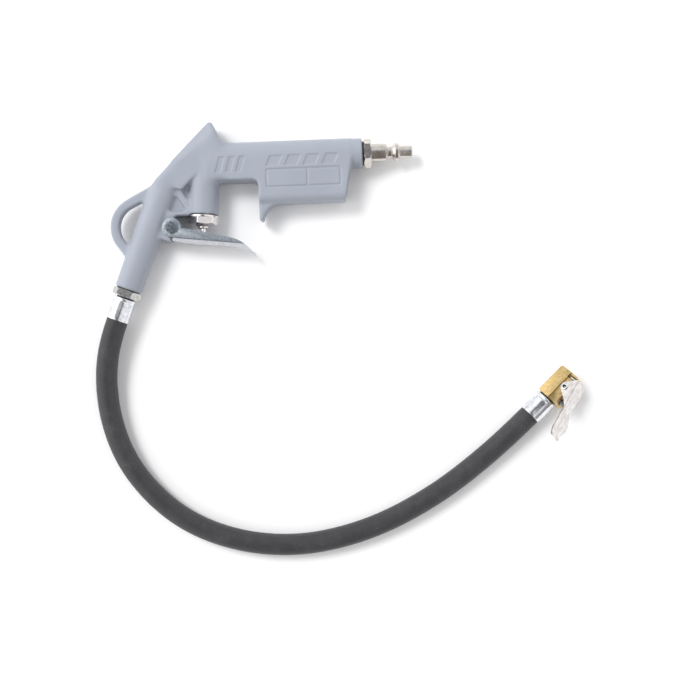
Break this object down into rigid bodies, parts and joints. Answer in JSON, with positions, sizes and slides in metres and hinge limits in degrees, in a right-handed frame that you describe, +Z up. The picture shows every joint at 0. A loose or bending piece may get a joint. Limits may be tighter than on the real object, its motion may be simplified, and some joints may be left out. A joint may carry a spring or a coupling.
{
  "type": "tyre inflator gun",
  "caption": "Cast trigger gun with a quick-connect air plug, a short rubber hose and a brass clip-on tyre valve chuck.",
  "frame": {"origin": "under the middle of the gun's box, on the floor that the gun's marked side lies on; the hose and chuck are left out of that box", "axes": "+X along the air inlet and out of its plug, +Y from the trigger to the top of the grip, +Z up out of the gun's other side"},
  "size_m": [0.3181, 0.2833, 0.0302],
  "materials": {
    "painted_casting": "satin light blue-grey paint on die-cast aluminium",
    "nickel": "bright nickel plate on turned steel",
    "zinc_steel": "bright blue zinc plate",
    "pressed_steel": "tumbled, dull silver plate",
    "bright_aluminium": "polished, crimped",
    "brass": "machined",
    "hose_rubber": "matt black, fine cloth impression",
    "seal_rubber": "satin black",
    "nylon": "natural nylon",
    "spring_steel": "drawn wire"
  },
  "bodies": {
    "gun": {"body_casting": "painted_casting", "inlet_plug": "nickel", "inlet_seal": "seal_rubber", "valve_cap": "nickel", "cap_seal": "seal_rubber", "stem_seal": "seal_rubber", "valve_seat": "nylon", "valve_spring": "spring_steel", "trigger_pin": "nickel", "outlet_seal": "seal_rubber", "outlet_nipple": "zinc_steel", "gun_ferrule": "bright_aluminium", "hose": "hose_rubber", "chuck_ferrule": "bright_aluminium", "chuck_nipple": "zinc_steel", "chuck_body": "brass", "chuck_seal": "seal_rubber", "chuck_pin": "brass", "chuck_rivet": "zinc_steel", "chuck_spring": "spring_steel"},
    "trigger": {"trigger": "zinc_steel"},
    "stem": {"valve_stem": "nickel", "valve_disc": "seal_rubber"},
    "lever": {"chuck_lever": "pressed_steel"}
  },
  "joints": [
    {"name": "trigger_pull", "type": "hinge", "parent": "gun", "child": "trigger", "pos_m": [-0.05845, -0.0131, 0.0101], "axis": [0, 0, 1], "range_deg": [0, 8], "stiffness_Nm_per_rad": 1.5, "springref_deg": -11.46},
    {"name": "stem_slide", "type": "slide", "parent": "gun", "child": "stem", "axis": [0.0698, 0.9976, 0], "range_m": [0, 0.0029], "deforming": ["valve_spring"]},
    {"name": "lever_press", "type": "hinge", "parent": "gun", "child": "lever", "pos_m": [0.1934, -0.12839, 0.0134], "axis": [0.4222, -0.4481, -0.788], "range_deg": [0, 12], "stiffness_Nm_per_rad": 0.4, "springref_deg": -17.19, "deforming": ["chuck_spring"]}
  ],
  "couplings": [
    {"joint": "stem_slide", "follows": "trigger_pull", "m_per_rad": 0.0203}
  ]
}
